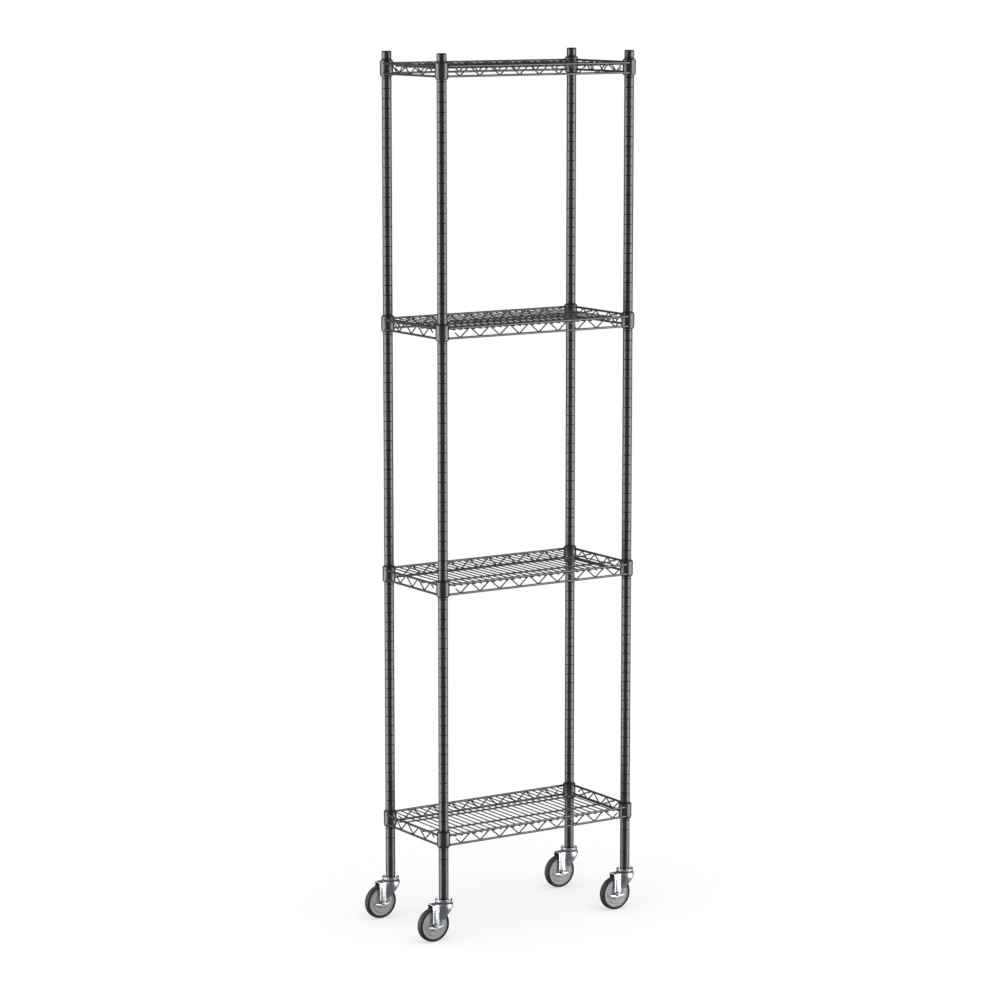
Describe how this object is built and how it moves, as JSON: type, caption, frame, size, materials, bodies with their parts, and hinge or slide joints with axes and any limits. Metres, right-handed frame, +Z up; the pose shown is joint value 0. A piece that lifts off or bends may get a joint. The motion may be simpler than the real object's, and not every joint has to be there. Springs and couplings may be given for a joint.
{
  "type": "wire shelving rack",
  "caption": "Tall narrow mobile rack of open wire shelves clamped to round grooved posts, rolling on swivel stem casters.",
  "frame": {"origin": "middle of the footprint of the whole rack, on the floor", "axes": "+Z up along the posts, +X along the long side of the shelves, -Y is the front"},
  "size_m": [0.676, 0.318, 2.2944],
  "materials": {
    "black_epoxy_coat": "semi-gloss black epoxy coat on steel",
    "black_plastic": "matt black moulded plastic",
    "bright_zinc": "bright zinc plate on pressed steel",
    "grey_wheel_plastic": "mid grey moulded plastic",
    "dark_rubber": "dark grey rubber tyre"
  },
  "bodies": {
    "root": {"post_front_left": "black_epoxy_coat", "cap_front_left": "black_plastic", "sleeve_1_front_left": "black_plastic", "sleeve_2_front_left": "black_plastic", "sleeve_3_front_left": "black_plastic", "sleeve_4_front_left": "black_plastic", "stem_front_left": "bright_zinc", "post_insert_front_left": "black_plastic", "raceway_front_left": "bright_zinc", "post_front_right": "black_epoxy_coat", "cap_front_right": "black_plastic", "sleeve_1_front_right": "black_plastic", "sleeve_2_front_right": "black_plastic", "sleeve_3_front_right": "black_plastic", "sleeve_4_front_right": "black_plastic", "stem_front_right": "bright_zinc", "post_insert_front_right": "black_plastic", "raceway_front_right": "bright_zinc", "post_back_left": "black_epoxy_coat", "cap_back_left": "black_plastic", "sleeve_1_back_left": "black_plastic", "sleeve_2_back_left": "black_plastic", "sleeve_3_back_left": "black_plastic", "sleeve_4_back_left": "black_plastic", "stem_back_left": "bright_zinc", "post_insert_back_left": "black_plastic", "raceway_back_left": "bright_zinc", "post_back_right": "black_epoxy_coat", "cap_back_right": "black_plastic", "sleeve_1_back_right": "black_plastic", "sleeve_2_back_right": "black_plastic", "sleeve_3_back_right": "black_plastic", "sleeve_4_back_right": "black_plastic", "stem_back_right": "bright_zinc", "post_insert_back_right": "black_plastic", "raceway_back_right": "bright_zinc", "shelf_1": "black_epoxy_coat", "shelf_2": "black_epoxy_coat", "shelf_3": "black_epoxy_coat", "shelf_4": "black_epoxy_coat"},
    "swivel_front_left": {"fork_front_left": "bright_zinc", "axle_bolt_front_left": "bright_zinc", "axle_nut_front_left": "bright_zinc"},
    "wheel_front_left": {"wheel_core_front_left": "grey_wheel_plastic", "tyre_front_left": "dark_rubber"},
    "swivel_front_right": {"fork_front_right": "bright_zinc", "axle_bolt_front_right": "bright_zinc", "axle_nut_front_right": "bright_zinc"},
    "wheel_front_right": {"wheel_core_front_right": "grey_wheel_plastic", "tyre_front_right": "dark_rubber"},
    "swivel_back_left": {"fork_back_left": "bright_zinc", "axle_bolt_back_left": "bright_zinc", "axle_nut_back_left": "bright_zinc"},
    "wheel_back_left": {"wheel_core_back_left": "grey_wheel_plastic", "tyre_back_left": "dark_rubber"},
    "swivel_back_right": {"fork_back_right": "bright_zinc", "axle_bolt_back_right": "bright_zinc", "axle_nut_back_right": "bright_zinc"},
    "wheel_back_right": {"wheel_core_back_right": "grey_wheel_plastic", "tyre_back_right": "dark_rubber"}
  },
  "joints": [
    {"name": "swivel_front_left_turn", "type": "hinge", "parent": "root", "child": "swivel_front_left", "pos_m": [-0.261, -0.134, 0.1], "axis": [0, 0, 1], "continuous": true},
    {"name": "wheel_front_left_spin", "type": "hinge", "parent": "swivel_front_left", "child": "wheel_front_left", "pos_m": [-0.293, -0.134, 0.045], "axis": [0, 1, 0], "continuous": true},
    {"name": "swivel_front_right_turn", "type": "hinge", "parent": "root", "child": "swivel_front_right", "pos_m": [0.313, -0.134, 0.1], "axis": [0, 0, 1], "continuous": true},
    {"name": "wheel_front_right_spin", "type": "hinge", "parent": "swivel_front_right", "child": "wheel_front_right", "pos_m": [0.281, -0.134, 0.045], "axis": [0, 1, 0], "continuous": true},
    {"name": "swivel_back_left_turn", "type": "hinge", "parent": "root", "child": "swivel_back_left", "pos_m": [-0.261, 0.134, 0.1], "axis": [0, 0, 1], "continuous": true},
    {"name": "wheel_back_left_spin", "type": "hinge", "parent": "swivel_back_left", "child": "wheel_back_left", "pos_m": [-0.293, 0.134, 0.045], "axis": [0, 1, 0], "continuous": true},
    {"name": "swivel_back_right_turn", "type": "hinge", "parent": "root", "child": "swivel_back_right", "pos_m": [0.313, 0.134, 0.1], "axis": [0, 0, 1], "continuous": true},
    {"name": "wheel_back_right_spin", "type": "hinge", "parent": "swivel_back_right", "child": "wheel_back_right", "pos_m": [0.281, 0.134, 0.045], "axis": [0, 1, 0], "continuous": true}
  ]
}
